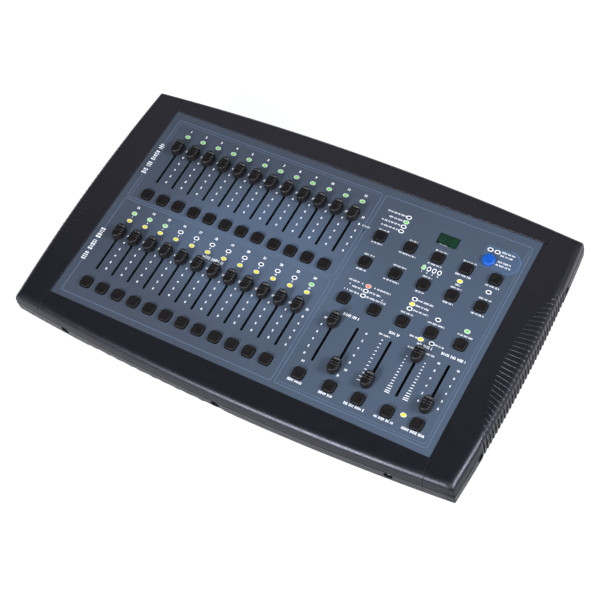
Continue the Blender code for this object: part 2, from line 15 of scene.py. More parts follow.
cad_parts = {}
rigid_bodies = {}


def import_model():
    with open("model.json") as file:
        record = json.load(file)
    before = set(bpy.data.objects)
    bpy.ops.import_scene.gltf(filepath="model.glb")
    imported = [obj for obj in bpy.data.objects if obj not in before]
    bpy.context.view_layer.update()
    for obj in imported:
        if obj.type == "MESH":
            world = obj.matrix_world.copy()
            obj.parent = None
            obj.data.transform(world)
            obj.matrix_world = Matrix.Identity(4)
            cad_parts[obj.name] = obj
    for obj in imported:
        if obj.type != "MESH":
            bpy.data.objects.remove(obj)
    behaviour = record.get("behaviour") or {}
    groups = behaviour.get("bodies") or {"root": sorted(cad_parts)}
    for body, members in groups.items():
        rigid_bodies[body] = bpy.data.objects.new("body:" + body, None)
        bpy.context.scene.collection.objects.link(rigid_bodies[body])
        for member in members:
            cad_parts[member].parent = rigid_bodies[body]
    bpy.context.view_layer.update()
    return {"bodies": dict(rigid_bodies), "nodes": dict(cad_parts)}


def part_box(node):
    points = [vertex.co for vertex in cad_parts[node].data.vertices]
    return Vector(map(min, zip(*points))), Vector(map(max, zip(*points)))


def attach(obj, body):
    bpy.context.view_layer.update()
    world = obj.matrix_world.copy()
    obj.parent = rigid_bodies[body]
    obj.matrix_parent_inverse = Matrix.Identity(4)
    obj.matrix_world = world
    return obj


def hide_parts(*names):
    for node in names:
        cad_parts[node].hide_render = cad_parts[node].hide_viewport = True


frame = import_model()
dice = random.Random(24)

MM = 0.001
GAP = 0.3
DECK_SLOPE = math.radians(7)

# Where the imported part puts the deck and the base.
PANEL_LOW, PANEL_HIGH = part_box("face_panel")
HALF_PANEL = PANEL_HIGH.x / MM
PANEL_DEPTH = 258.3
PANEL_THICK = 1.5
DECK = (
    Matrix.Translation((0, PANEL_LOW.y, PANEL_HIGH.z - PANEL_DEPTH * MM * math.sin(DECK_SLOPE)))
    @ Matrix.Rotation(DECK_SLOPE, 4, "X")
    @ Matrix.Scale(MM, 4)
)

# The frame mouldings.
FRAME_TOP = 1.0
FRAME_SHELL = 3.0
SKIRT_DROP = 26.0
SIDE_MIDDLE = 263.0
SIDE_FRONT = 257.0
SIDE_REAR = 257.4
FRONT_MIDDLE = -32.8
FRONT_CORNER = -21.7
REAR_MIDDLE = 288.5
REAR_CORNER = 277.2
CORNER_CUT = 1.2
SHOULDER_FRONT = 9.8
SHOULDER_REAR = 8.0
SEAM_X = HALF_PANEL + 3.5
SEAM_GAP = 0.28
NOSE_TUCK = 0.35
TOP_REACH = 24.5
TOP_STEPS = 14
ARC_STEPS = 12
LIP_TOP = -18.0
SCALLOP_ZONE = (-165, 22)
SCALLOP_PITCH = 14.7

# The grip ribs on the cheeks: each is a tooth, deepest in the wall.
RIB_PITCH = 5.85
RIB_COUNT = 32
RIB_START = 30.0
RIB_HALF = RIB_PITCH * RIB_COUNT / 2
RIB_MIDDLE = RIB_START + RIB_HALF
RIB_REACH = 22.5
RIB_DEPTH = 0.9
RIB_CREST = 0.88
RIB_TOP_SHARE = 0.42
RIB_LEFT_SHARE = 0.6
TOOTH_PHASES = (0.0, 0.05, 0.25, 0.5, 0.76, RIB_CREST, 0.91, 0.94, 0.97)

# The recessed screws.
RECESS_Z = -17.2
RECESS_IN = 0.3
RECESS_RADIUS = 5.0
FRAME_SCREW_DEPTH = 8.25

# Controls.
TRAVEL = 45.0
CAP_SIZE = (11.7, 18.2)
CAP_CORNER = 5.6
CAP_EDGE = 1.7
CAP_TOP = 10.0
CAP_DIP = 1.4
CAP_SHIFT = -0.6
CAP_RIDGE = 0.50
CAP_RIDGE_PITCH = 2.7
CHANNELS = 12
PITCH = 20.0
FIRST_CHANNEL = 30.0 - HALF_PANEL
CHANNEL_X = [FIRST_CHANNEL + PITCH * k for k in range(CHANNELS)]
SLOT_SIZE = (3.0, 51.8)
BANK_A_Y = 190.1
BANK_B_Y = 69.25
MASTER_X = [x - HALF_PANEL for x in (292.3, 317.0, 353.8, 385.3, 417.0)]
FUNCTION_X = [x - HALF_PANEL for x in (287.8, 322.2, 353.8, 385.3, 417.0)]
KEY_ROWS = {
    "flash_keys_a": (CHANNEL_X, 146.4),
    "flash_keys_b": (CHANNEL_X, 25.4),
    "function_keys_1": (FUNCTION_X, 199.8),
    "function_keys_2": (FUNCTION_X, 165.6),
    "function_keys_3": (FUNCTION_X, 119.2),
    "function_keys_4": (FUNCTION_X, 25.4),
}
KEY_SIZE = 12.4
KEY_CORNER = 3.6
KEY_HOLE = 13.4
KEY_TOP = 3.0
BUTTON_CENTRE = (401.2 - HALF_PANEL, 217.8)
BUTTON_RADIUS = 6.7
DISPLAY_CENTRE = (353.8 - HALF_PANEL, 222.8)
DISPLAY_SIZE = (22.5, 13.0)
MICROPHONE = (268.3 - HALF_PANEL, 200.3)
PRINT_LIFT = 0.03
LAMP_SIZE = (6.3, 4.8)
MIDI_SOCKETS = ("midi_in_socket", "midi_thru_socket", "midi_out_socket")
TICK_STRETCH = (1.12, 1.15)
SCALE_A = (213.7, 204.8, 196.0, 187.2, 178.2, 169.2)
SCALE_B = (92.3, 83.3, 74.7, 65.8, 57.0, 48.2)

# The right cheek's walls, in metres from the middle: their shine fades between these.
RIGHT_WALL = (0.238, 0.250)


# ---- materials ----


class Finish:
    """A Principled material whose colour, roughness and surface come from noise in object space."""

    def __init__(self, name, metallic=0.0, **sockets):
        self.material = bpy.data.materials.new(name)
        self.material.use_nodes = True
        self.tree = self.material.node_tree
        self.shader = self.tree.nodes["Principled BSDF"]
        self.shader.inputs["Metallic"].default_value = metallic
        for socket, value in sockets.items():
            self.shader.inputs[socket.replace("_", " ")].default_value = value
        self.place = self.node("ShaderNodeTexCoord").outputs["Object"]
        self.normal = None

    def node(self, kind, **settings):
        made = self.tree.nodes.new(kind)
        for key, value in settings.items():
            setattr(made, key, value)
        return made

    def link(self, output, target):
        self.tree.links.new(output, target)

    def vector(self, operation, value, other=(0, 0, 0)):
        made = self.node("ShaderNodeVectorMath", operation=operation)
        self.link(value, made.inputs[0])
        made.inputs[1].default_value = other
        return made

    def remap(self, value, source, target, **settings):
        """A value taken from one range to another and held at its ends."""
        made = self.node("ShaderNodeMapRange", **settings)
        for socket, number in zip(("From Min", "From Max", "To Min", "To Max"), (*source, *target)):
            made.inputs[socket].default_value = number
        self.link(value, made.inputs["Value"])
        return made

    def noise(self, scale, detail=3.0, roughness=0.55, stretch=None):
        made = self.node("ShaderNodeTexNoise")
        made.inputs["Scale"].default_value = scale
        made.inputs["Detail"].default_value = detail
        made.inputs["Roughness"].default_value = roughness
        place = self.place
        if stretch:
            mapping = self.node("ShaderNodeMapping")
            mapping.inputs["Scale"].default_value = stretch
            self.link(place, mapping.inputs["Vector"])
            place = mapping.outputs["Vector"]
        self.link(place, made.inputs["Vector"])
        return made.outputs["Fac"]

    def ramp(self, value, stops):
        made = self.node("ShaderNodeValToRGB")
        for element, (position, colour) in zip(made.color_ramp.elements, stops):
            element.position = position
            element.color = (*colour, 1)
        self.link(value, made.inputs["Fac"])
        return made.outputs["Color"]

    def colour(self, base, spread, scale, **noise):
        """Mottles the base colour by a share either way."""
        low = [channel * (1 - spread) for channel in base]
        high = [channel * (1 + spread) for channel in base]
        self.paint(self.ramp(self.noise(scale, **noise), [(0.32, low), (0.68, high)]))
        return self

    def paint(self, output):
        self.painted = output
        self.link(output, self.shader.inputs["Base Color"])

    def cover(self, share, colour):
        """Lays another colour over what is painted so far, by a share from a node."""
        mix = self.node("ShaderNodeMix", data_type="RGBA")
        self.link(share, mix.inputs["Factor"])
        self.link(self.painted, mix.inputs["A"])
        mix.inputs["B"].default_value = (*colour, 1)
        self.paint(mix.outputs["Result"])
        return self

    def worn(self, colour, amount, sharpness=0.56):
        """Lightens the edges, where hands and cloths rub."""
        edge = self.node("ShaderNodeNewGeometry").outputs["Pointiness"]
        return self.cover(self.remap(edge, (0.51, sharpness), (0, amount)).outputs["Result"], colour)

    def drift(self, colour, centre, reach, inner=0.0):
        """Painted sheen: a lighter colour that fades in round a place, standing in for a light's glare. Reach is the
        distance along each axis at which it is gone.
        """
        offset = self.vector("SUBTRACT", self.place, centre).outputs["Vector"]
        shrunk = self.vector("MULTIPLY", offset, [1 / value for value in reach]).outputs["Vector"]
        length = self.vector("LENGTH", shrunk).outputs["Value"]
        fade = self.remap(length, (inner, 1), (1, 0), interpolation_type="SMOOTHSTEP")
        return self.cover(fade.outputs["Result"], colour)

    def height(self, matrix, *levels):
        """How high a point stands along the Z of the given axes, and the same measure of some levels in them."""
        normal = matrix.to_3x3().normalized() @ Vector((0, 0, 1))
        dot = self.vector("DOT_PRODUCT", self.place, normal)
        return dot.outputs["Value"], [normal.dot(matrix @ Vector((0, 0, level))) for level in levels]

    def above(self, matrix, level, colour):
        """Another colour on what stands over a level in the given axes."""
        height, levels = self.height(matrix, level)
        over = self.node("ShaderNodeMath", operation="GREATER_THAN")
        self.link(height, over.inputs[0])
        over.inputs[1].default_value = levels[0]
        return self.cover(over.outputs[0], colour)

    def matt_below(self, matrix, top, bottom, level, right_level):
        """Less shine under a height in the given axes, as on a moulding with matt walls, least on the right side."""
        height, levels = self.height(matrix, bottom, top)
        shine = self.shader.inputs["Specular IOR Level"]
        fade = self.remap(height, levels, (level, shine.default_value), interpolation_type="SMOOTHSTEP")
        split = self.node("ShaderNodeSeparateXYZ")
        self.link(self.place, split.inputs["Vector"])
        side = self.remap(split.outputs["X"], RIGHT_WALL, (level, right_level))
        self.link(side.outputs["Result"], fade.inputs["To Min"])
        self.link(fade.outputs["Result"], shine)
        return self

    def gloss(self, low, high, scale, **noise):
        """Lets the roughness wander between two values."""
        spread = self.remap(self.noise(scale, **noise), (0.3, 0.7), (low, high))
        self.link(spread.outputs["Result"], self.shader.inputs["Roughness"])
        return self

    def grain(self, scale, strength, distance=0.1, **noise):
        """A bump of the given depth in millimetres."""
        bump = self.node("ShaderNodeBump")
        bump.inputs["Strength"].default_value = strength
        bump.inputs["Distance"].default_value = distance * MM
        self.link(self.noise(scale, **noise), bump.inputs["Height"])
        if self.normal:
            self.link(self.normal, bump.inputs["Normal"])
        self.normal = bump.outputs["Normal"]
        self.link(self.normal, self.shader.inputs["Normal"])
        return self

    def glow(self, colour, strength):
        self.shader.inputs["Emission Color"].default_value = (*colour, 1)
        self.shader.inputs["Emission Strength"].default_value = strength
        return self


def finishes():
    made = {}

    def finish(name, *args, **settings):
        made[name] = Finish(name, *args, **settings)
        return made[name]

    panel = finish("panel_blue", Specular_IOR_Level=0.45)
    panel.colour((0.059, 0.073, 0.099), 0.05, 26, detail=6.0)
    # Painted sheen: two lighter pools, over the panel's right side and round its middle, stand in for a light's glare
    # on the satin paint.
    panel.drift((0.069, 0.096, 0.137), (0.24, -0.05, 0.06), (0.40, 0.32, 1.0), 0.2)
    panel.drift((0.088, 0.122, 0.179), (-0.045, 0.002, 0.06), (0.16, 0.105, 1.0), 0.35)
    panel.gloss(0.36, 0.46, 120, detail=5.0).grain(1900, 0.35, 0.05).grain(260, 0.12, 0.04)

    mould = finish("frame_black", Specular_IOR_Level=0.46, Specular_Tint=(0.88, 0.90, 1.0, 1.0))
    mould.colour((0.0066, 0.0070, 0.0096), 0.16, 60, detail=6.0)
    # Painted sheen: the black moulding turns lighter towards its rear left, standing in for the reflection seen there.
    mould.drift((0.0240, 0.0210, 0.0255), (-0.15, 0.24, 0.06), (1.0, 0.50, 1.0))
    mould.worn((0.03, 0.03, 0.034), 0.4, 0.60).matt_below(DECK, -3.5, -7.5, 0.10, 0.045)
    mould.gloss(0.28, 0.36, 90, detail=6.0).grain(1500, 0.45, 0.06).grain(5200, 0.3, 0.03)

    cap = finish("cap_black", Specular_IOR_Level=0.42).colour((0.0050, 0.0040, 0.0040), 0.3, 240, detail=4.0)
    cap.worn((0.035, 0.031, 0.030), 0.5).gloss(0.34, 0.46, 300).grain(3600, 0.4, 0.05)
    key = finish("key_black", Specular_IOR_Level=0.3).colour((0.0060, 0.0044, 0.0042), 0.25, 200, detail=4.0)
    key.worn((0.016, 0.014, 0.013), 0.3).gloss(0.5, 0.64, 260).grain(3600, 0.4, 0.05)
    # Painted shade: the screw recesses' cups are darker and matter than the moulding they are part of.
    well = finish("recess_shade_black", Specular_IOR_Level=0.05).colour((0.0024, 0.0022, 0.0022), 0.3, 200)
    well.gloss(0.6, 0.75, 300)
    board = finish("board_green").colour((0.012, 0.07, 0.028), 0.35, 320, detail=6.0).gloss(0.3, 0.5, 500)
    # Near-black on the boards above a level: the fader bodies' own dark colour, and painted shade so that the slots
    # look black inside.
    board.grain(900, 0.4, 0.08).above(DECK, -17.9, (0.008, 0.008, 0.009))
    button = finish("button_blue", Coat_Weight=0.3, Coat_Roughness=0.2).colour((0.003, 0.085, 0.42), 0.12, 160)
    # The faint blue glow is painted brightness on the button.
    button.worn((0.05, 0.2, 0.8), 0.4).gloss(0.3, 0.42, 260).grain(2600, 0.3, 0.04).glow((0.0, 0.09, 0.8), 0.12)
    metal = finish("socket_metal", metallic=1.0).colour((0.56, 0.55, 0.52), 0.12, 160, stretch=(1, 1, 12))
    metal.gloss(0.22, 0.42, 240).grain(900, 0.3, 0.03, stretch=(1, 1, 14))

    window = finish("window_green", Coat_Weight=0.6, Coat_Roughness=0.05).colour((0.0035, 0.026, 0.013), 0.3, 180)
    window.gloss(0.06, 0.14, 160).grain(500, 0.05, 0.02)
    digit = finish("digit_green").colour((0.006, 0.06, 0.024), 0.2, 400).gloss(0.3, 0.5, 400)
    digit.glow((0.01, 0.25, 0.06), 0.04)
    finish("contact_gold", metallic=1.0).colour((0.72, 0.5, 0.2), 0.15, 400).gloss(0.2, 0.35, 300)
    print_grain = (3000, 0.2, 0.02)
    for name, metallic, base, mottle, gloss, grain in (
        ("sheet_black", 0.1, (0.016, 0.016, 0.0175), (0.2, 130), (0.45, 0.6, 200), (1400, 0.8, 0.09)),
        ("socket_black", 0, (0.014, 0.014, 0.015), (0.25, 220), (0.3, 0.45, 260), (2600, 0.35, 0.04)),
        ("screw_black", 0.7, (0.03, 0.03, 0.032), (0.3, 500), (0.3, 0.45, 500), (2200, 0.3, 0.03)),
        ("foot_rubber", 0, (0.017, 0.017, 0.017), (0.3, 260), (0.75, 0.9, 300), (1200, 0.7, 0.1)),
        ("print_white", 0, (0.86, 0.87, 0.89), (0.04, 900), (0.4, 0.55, 600), print_grain),
        ("print_blue", 0, (0.108, 0.158, 0.235), (0.06, 500), (0.4, 0.5, 600), print_grain),
        ("print_sky", 0, (0.068, 0.108, 0.170), (0.06, 300), (0.4, 0.5, 600), print_grain),
        ("print_azure", 0, (0.085, 0.150, 0.260), (0.06, 300), (0.4, 0.5, 600), print_grain),
        ("floor_white", 0, (0.60, 0.60, 0.605), (0.015, 3), (0.6, 0.75, 8), (300, 0.05, 0.02)),
    ):
        finish(name, metallic=metallic).colour(base, *mottle).gloss(*gloss).grain(*grain)
    # A faint painted glow lifts the white print and the lamp rings, which hold no lamp.
    made["print_white"].glow((0.9, 0.95, 1.0), 0.12)
    made["floor_white"].glow((1, 1, 1), 0.64)
    for name, base, light, strength in (
        ("lens_green", (0.20, 0.50, 0.16), (0.34, 0.75, 0.22), 0.30),
        ("lens_yellow", (0.6, 0.55, 0.05), (0.85, 0.78, 0.05), 0.42),
        ("lens_orange", (0.6, 0.16, 0.08), (0.95, 0.26, 0.13), 0.42),
    ):
        lens = finish(name, Coat_Weight=0.4, Coat_Roughness=0.1).colour(base, 0.12, 700).gloss(0.15, 0.3, 600)
        lens.glow(light, strength)
    dark = finish("lens_dark", Coat_Weight=0.6, Coat_Roughness=0.06).colour((0.035, 0.04, 0.05), 0.3, 500)
    dark.gloss(0.1, 0.25, 600)
    return {name: one.material for name, one in made.items()}


MATERIALS = finishes()


# ---- mesh helpers, in millimetres ----


def smooth(low, high, value):
    t = min(1, max(0, (value - low) / (high - low)))
    return t * t * (3 - 2 * t)


def spun(x, y, angle):
    return x * math.cos(angle) - y * math.sin(angle), x * math.sin(angle) + y * math.cos(angle)


def loft(bm, loops, closed_section=False):
    """Faces between loops of the same count: a solid with end caps, or a closed ring of sections."""
    rings = [[bm.verts.new(point) for point in loop] for loop in loops]
    pairs = list(zip(rings, rings[1:]))
    if closed_section:
        pairs.append((rings[-1], rings[0]))
    else:
        bm.faces.new(rings[0][::-1])
        bm.faces.new(rings[-1])
    count = len(loops[0])
    for low, high in pairs:
        for k in range(count):
            after = (k + 1) % count
            bm.faces.new((low[k], low[after], high[after], high[k]))


def rectangle(x, y, width, depth):
    return [(x + sx * width / 2, y + sy * depth / 2) for sx, sy in ((-1, -1), (1, -1), (1, 1), (-1, 1))]


def rounded(x, y, width, depth, radius, steps):
    points = []
    for corner in range(4):
        middle_x = x + (width / 2 - radius) * (1 if corner in (0, 3) else -1)
        middle_y = y + (depth / 2 - radius) * (1 if corner in (0, 1) else -1)
        for step in range(steps + 1):
            angle = math.radians(90) * (corner + step / steps)
            points.append((middle_x + radius * math.cos(angle), middle_y + radius * math.sin(angle)))
    return points


def ellipse(x, y, width, depth, sides=24):
    turn = 2 * math.pi / sides
    return [(x + width / 2 * math.cos(k * turn), y + depth / 2 * math.sin(k * turn)) for k in range(sides)]


def prism(bm, outline, low, high):
    loft(bm, [[(x, y, z) for x, y in outline] for z in (low, high)])


def flat(bm, outline, z=PRINT_LIFT):
    bm.faces.new([bm.verts.new((x, y, z)) for x, y in outline])


def ring(bm, outer, inner, z=PRINT_LIFT):
    rings = [[bm.verts.new((x, y, z)) for x, y in outline] for outline in (outer, inner)]
    count = len(outer)
    for k in range(count):
        after = (k + 1) % count
        bm.faces.new((rings[0][k], rings[0][after], rings[1][after], rings[1][k]))


def turned(bm, x, y, profile, sides=32, closed_section=False):
    """A body of revolution about Z: (radius, height) pairs from the bottom up."""
    loops = [[(px, py, z) for px, py in ellipse(x, y, 2 * r, 2 * r, sides)] for r, z in profile]
    loft(bm, loops, closed_section)


def mesh_of(name, bm, matrix, finish, angle=35, recalc=True):
    if recalc:
        bmesh.ops.recalc_face_normals(bm, faces=bm.faces)
    bm.transform(matrix)
    mesh = bpy.data.meshes.new(name)
    bm.to_mesh(mesh)
    bm.free()
    mesh.shade_smooth()
    mesh.set_sharp_from_angle(angle=math.radians(angle))
    mesh.materials.append(MATERIALS[finish])
    return mesh


def add(name, data):
    obj = bpy.data.objects.new(name, data)
    bpy.context.scene.collection.objects.link(obj)
    return obj


def show(name, mesh, body="desk", replaces=()):
    obj = add(name, mesh)
    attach(obj, body)
    if replaces:
        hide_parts(*replaces)
    return obj


def piece(name, build, finish, matrix=DECK, body="desk", replaces=(), angle=35, recalc=True):
    bm = bmesh.new()
    build(bm)
    return show(name, mesh_of(name, bm, matrix, finish, angle, recalc), body, replaces)


def evaluated(obj):
    """A mesh of what an object shows."""
    bpy.context.view_layer.update()
    return bpy.data.meshes.new_from_object(obj.evaluated_get(bpy.context.evaluated_depsgraph_get()))


def modified(obj, kind, **settings):
    """Runs one modifier on a piece and keeps what it makes as the piece's mesh."""
    modifier = obj.modifiers.new("step", kind)
    for key, value in settings.items():
        setattr(modifier, key, value)
    mesh = evaluated(obj)
    obj.modifiers.clear()
    obj.data = mesh
    mesh.set_sharp_from_angle(angle=math.radians(35))


def cut(obj, cutter_build, matrix):
    """Takes the cutter's shape out of a piece's mesh."""
    bm = bmesh.new()
    cutter_build(bm)
    cutter = add("cutter", mesh_of("cutter", bm, matrix, "socket_black"))
    modified(obj, "BOOLEAN", operation="DIFFERENCE", solver="EXACT", object=cutter)
    bpy.data.objects.remove(cutter)


# ---- frame ----

FRAME_CENTRE = (FRONT_MIDDLE + REAR_MIDDLE) / 2
FRAME_HALF = (REAR_MIDDLE - FRONT_MIDDLE) / 2
SIDE_LOW, SIDE_HIGH = FRONT_CORNER + CORNER_CUT, REAR_CORNER - CORNER_CUT


def wall_y(x):
    return FRONT_MIDDLE + (FRONT_CORNER - FRONT_MIDDLE) * (x / SIDE_FRONT) ** 2


def wall_x(y):
    t = 2 * (y - SIDE_LOW) / (SIDE_HIGH - SIDE_LOW) - 1
    return SIDE_MIDDLE + (SIDE_REAR - SIDE_FRONT) / 2 * t - (SIDE_MIDDLE - (SIDE_REAR + SIDE_FRONT) / 2) * t * t


def side_ys():
    """Where the side sections stand: closely spaced over the ribs, following each rib's tooth."""
    rib_end = RIB_START + RIB_PITCH * RIB_COUNT
    ys = [SIDE_LOW + (RIB_START - SIDE_LOW) * k / 8 for k in range(8)]
    for rib in range(RIB_COUNT):
        ys += [RIB_START + RIB_PITCH * (rib + phase) for phase in TOOTH_PHASES]
    return ys + [rib_end + (SIDE_HIGH - rib_end) * k / 8 for k in range(9)]


def frame_outline():
    """The frame's outer edge as (x, y, side), anticlockwise from the front left corner."""
    points = []
    steps = 88
    for step in range(steps + 1):
        x = (SIDE_FRONT - CORNER_CUT) * (2 * step / steps - 1)
        points.append((x, wall_y(x), "front"))
    side = [(wall_x(y), y) for y in side_ys()]
    points += [(x, y, "right") for x, y in side]
    for step in range(steps + 1):
        x = (SIDE_REAR - CORNER_CUT) * (1 - 2 * step / steps)
        points.append((x, REAR_MIDDLE + (REAR_CORNER - REAR_MIDDLE) * (x / SIDE_REAR) ** 2, "rear"))
    return points + [(-x, y, "left") for x, y in reversed(side)]


def inset(point, distance):
    """An outline point drawn in towards the frame's centre."""
    x, y, _ = point
    return x * (1 - distance / SIDE_MIDDLE), FRAME_CENTRE + (y - FRAME_CENTRE) * (1 - distance / FRAME_HALF)


def opening(point, out=0.0):
    """The matching point on the rectangular opening round the face panel, or that far outside it."""
    x, y, side = point
    half = HALF_PANEL + GAP + out
    low, high = -GAP - out, PANEL_DEPTH + GAP + out
    if side == "front":
        return half * x / (SIDE_FRONT - CORNER_CUT), low
    if side == "rear":
        return half * x / (SIDE_REAR - CORNER_CUT), high
    along = (y - FRONT_CORNER - CORNER_CUT) / (REAR_CORNER - FRONT_CORNER - 2 * CORNER_CUT)
    return math.copysign(half, x), low + 4 + (high - low - 8) * along


def clear_reach(point):
    """How far a point can be drawn in before it comes near the opening."""
    x, y, side = point
    margin = GAP + 1.5
    if side in ("left", "right"):
        return SIDE_MIDDLE * (1 - (HALF_PANEL + margin) / abs(x))
    edge = -margin if side == "front" else PANEL_DEPTH + margin
    return FRAME_HALF * (1 - (edge - FRAME_CENTRE) / (y - FRAME_CENTRE))


def shoulder(point):
    """The radius of the frame's top edge at an outline point."""
    along = (point[1] - FRONT_MIDDLE) / (REAR_MIDDLE - FRONT_MIDDLE)
    return SHOULDER_FRONT + (SHOULDER_REAR - SHOULDER_FRONT) * along


def rib_depth(y, distance, on_top):
    """How far a rib's tooth is cut in, at a distance in from the outline. Its steep face looks forward."""
    phase = (y - RIB_START) / RIB_PITCH
    if not 0 <= phase <= RIB_COUNT:
        return 0
    share = phase - math.floor(phase)
    tooth = (share / RIB_CREST) ** 1.1 if share < RIB_CREST else 1 - smooth(RIB_CREST, 1.0, share)
    reach = RIB_REACH * (1 - abs((y - RIB_MIDDLE) / RIB_HALF) ** 2.4)
    inner = smooth(0, 1.4, reach - distance + 1.0)
    return RIB_DEPTH * (RIB_TOP_SHARE if on_top else 1.0) * tooth * inner


def scallop(x):
    """The wave in the lip under the nose, left of its middle."""
    start, end = SCALLOP_ZONE
    if not start < x < end:
        return 0
    fade = smooth(start, start + 15, x) * (1 - smooth(end - 16, end, x))
    return fade * (0.8 + 2.8 * abs(math.sin(math.pi * (x - start) / SCALLOP_PITCH)))


def frame_ring(bm):
    outline = frame_outline()
    # Wall sections from the skirt's foot up: inset, height, and how much of a rib's depth goes outward and upward.
    foot, nose = -SKIRT_DROP, -12.0
    sections = [(FRAME_SHELL, foot, 0, 0), (1.2, foot, 0, -1), (0.35, foot + 0.15, 1, 0), (0.06, foot + 0.6, 1, 0)]
    low = foot + 1.2
    sections += [(0, low + share * (nose - low), 1, 0) for share in (0.0, 0.2, 0.4, 0.6, 0.8, 1.0)]
    sections += [(0.03, -11.7, 1, 0), (NOSE_TUCK * 0.8, -11.35, 1, 0), (NOSE_TUCK, -11.2, 1, 0)]

    def level(kind, index):
        loop = []
        for point in outline:
            radius = shoulder(point)
            if kind == "wall":
                distance, z, out, up = sections[index]
                if point[2] == "front" and z < LIP_TOP:
                    z += scallop(point[0]) * (LIP_TOP - z) / (LIP_TOP + SKIRT_DROP)
            elif kind == "arc":
                angle = math.radians(90 * index / ARC_STEPS)
                distance = NOSE_TUCK + radius * (1 - math.cos(angle))
                z = FRAME_TOP - radius * (1 - math.sin(angle))
                out, up = math.cos(angle), math.sin(angle)
            else:
                start = radius + NOSE_TUCK
                end = min(TOP_REACH, clear_reach(point))
                distance, z, out, up = start + (end - start) * index / TOP_STEPS, FRAME_TOP, 0, 1
            if point[2] in ("left", "right") and (out or up > 0):
                on_top = up > 0.5
                share = RIB_LEFT_SHARE if point[2] == "left" and on_top else 1
                depth = rib_depth(point[1], distance, on_top) * share
                distance += depth * out
                z -= depth * up
            loop.append((*inset(point, distance), z))
        return loop

    loops = [level("wall", k) for k in range(len(sections))]
    loops += [level("arc", k) for k in range(ARC_STEPS + 1)]
    loops += [level("top", k) for k in range(1, TOP_STEPS + 1)]
    for out, drop in ((0.7, 0), (0.3, 0.1), (0.08, 0.35), (0, 0.8), (0, FRAME_SHELL)):
        loops.append([(*opening(p, out), FRAME_TOP - drop) for p in outline])
    loops.append([(*inset(p, FRAME_SHELL + 0.6 * shoulder(p)), FRAME_TOP - FRAME_SHELL) for p in outline])
    loops.append([(*inset(p, FRAME_SHELL), FRAME_TOP - shoulder(p) - 0.4 * FRAME_SHELL) for p in outline])
    loft(bm, loops, closed_section=True)


def frame_part(whole, keep, seam_shift):
    """A copy of the ring with the faces that keep() picks, closed and drawn back from its seams."""
    bm = whole.copy()
    gone = [face for face in bm.faces if not keep(face.calc_center_median())]
    bmesh.ops.delete(bm, geom=gone, context="FACES")
    edges = [edge for edge in bm.edges if edge.is_boundary]
    for vert in {vert for edge in edges for vert in edge.verts}:
        vert.co = seam_shift(vert.co)
    bmesh.ops.holes_fill(bm, edges=edges, sides=0)
    return bm


def frame_pieces():
    """The ring split at the seams: two rails and two cheeks."""
    whole = bmesh.new()
    frame_ring(whole)
    seams = [((x, 0, 0), (1, 0, 0)) for x in (SEAM_X, -SEAM_X)] + [((0, y, 0), (0, 1, 0)) for y in (0, PANEL_DEPTH)]
    for place, normal in seams:
        geometry = whole.verts[:] + whole.edges[:] + whole.faces[:]
        bmesh.ops.bisect_plane(whole, geom=geometry, plane_co=place, plane_no=normal, dist=1e-4)

    def near(value, target):
        return abs(value - target) < 1e-3

    def rail(front):
        def keep(c):
            return abs(c.x) < SEAM_X and (c.y < 0 if front else c.y > PANEL_DEPTH)

        def shift(co):
            y = co.y
            if near(y, 0) or near(y, PANEL_DEPTH):
                y += -SEAM_GAP if front else SEAM_GAP
            x = math.copysign(SEAM_X - SEAM_GAP, co.x) if near(abs(co.x), SEAM_X) else co.x
            return Vector((x, y, co.z))

        return frame_part(whole, keep, shift)

    def cheek(side):
        def keep(c):
            return c.x * side > 0 and (abs(c.x) > SEAM_X or 0 < c.y < PANEL_DEPTH)

        def shift(co):
            x, y = co.x, co.y
            if near(abs(x), SEAM_X):
                x = side * (SEAM_X + SEAM_GAP)
            elif near(y, 0):
                y += SEAM_GAP
            elif near(y, PANEL_DEPTH):
                y -= SEAM_GAP
            return Vector((x, y, co.z))

        return frame_part(whole, keep, shift)

    made = {}
    parts = {"front_rail": rail(True), "rear_rail": rail(False), "left_cheek": cheek(-1), "right_cheek": cheek(1)}
    for node, bm in parts.items():
        name = "frame_" + node.split("_")[0]
        mesh = mesh_of(name, bm, DECK, "frame_black", 40)
        made[name] = show(name, mesh, replaces=(node,))
    whole.free()
    return made


def outward(place):
    """A matrix that sets a part's Z along the frame wall's outward direction at a place (x, y, z, turn)."""
    x, y, z, turn = place
    turned_place = Matrix.Translation((x, y, z)) @ Matrix.Rotation(math.radians(turn), 4, "Z")
    return turned_place @ Matrix.Rotation(math.radians(90), 4, "Y")


def recess_places():
    """Where the screws sit in the frame's walls: (x, y, z, turn) by name, starting with the piece's side."""
    places = {}
    for name, x in (("left", -190.0), ("middle", 0.0), ("right", 190.0)):
        slope = math.degrees(math.atan(2 * (FRONT_CORNER - FRONT_MIDDLE) * x / SIDE_FRONT**2))
        places["front_" + name] = (x, wall_y(x) + RECESS_IN, RECESS_Z, -90 + slope)
    for side, sign in (("left", -1), ("right", 1)):
        for end, y in (("front", 27.0), ("rear", 226.0)):
            places[side + "_" + end] = (sign * (wall_x(y) - RECESS_IN), y, RECESS_Z, 0 if sign > 0 else 180)
    return places


def frame_screws(parts):
    def well(bm):
        turned(bm, 0, 0, [(RECESS_RADIUS - 0.4, -5), (RECESS_RADIUS, 3)], 28)

    def cup(bm):
        outer = [(5.5, -3.3), (5.5, -8.6), (3.9, -8.9), (0.6, -8.9)]
        inner = [(0.6, -8.3), (3.8, -8.3), (RECESS_RADIUS, -8.0), (RECESS_RADIUS, -3.3)]
        turned(bm, 0, 0, outer + inner, 28, closed_section=True)

    for name, place in recess_places().items():
        matrix = DECK @ outward(place)
        cut(parts["frame_" + name.split("_")[0]], well, matrix)
        # The cup's near-black finish is painted shade in the recess.
        piece("screw_well_" + name, cup, "recess_shade_black", matrix)
        screw("frame_screw_" + name, matrix @ Matrix.Translation((0, 0, -FRAME_SCREW_DEPTH)), 2.9)


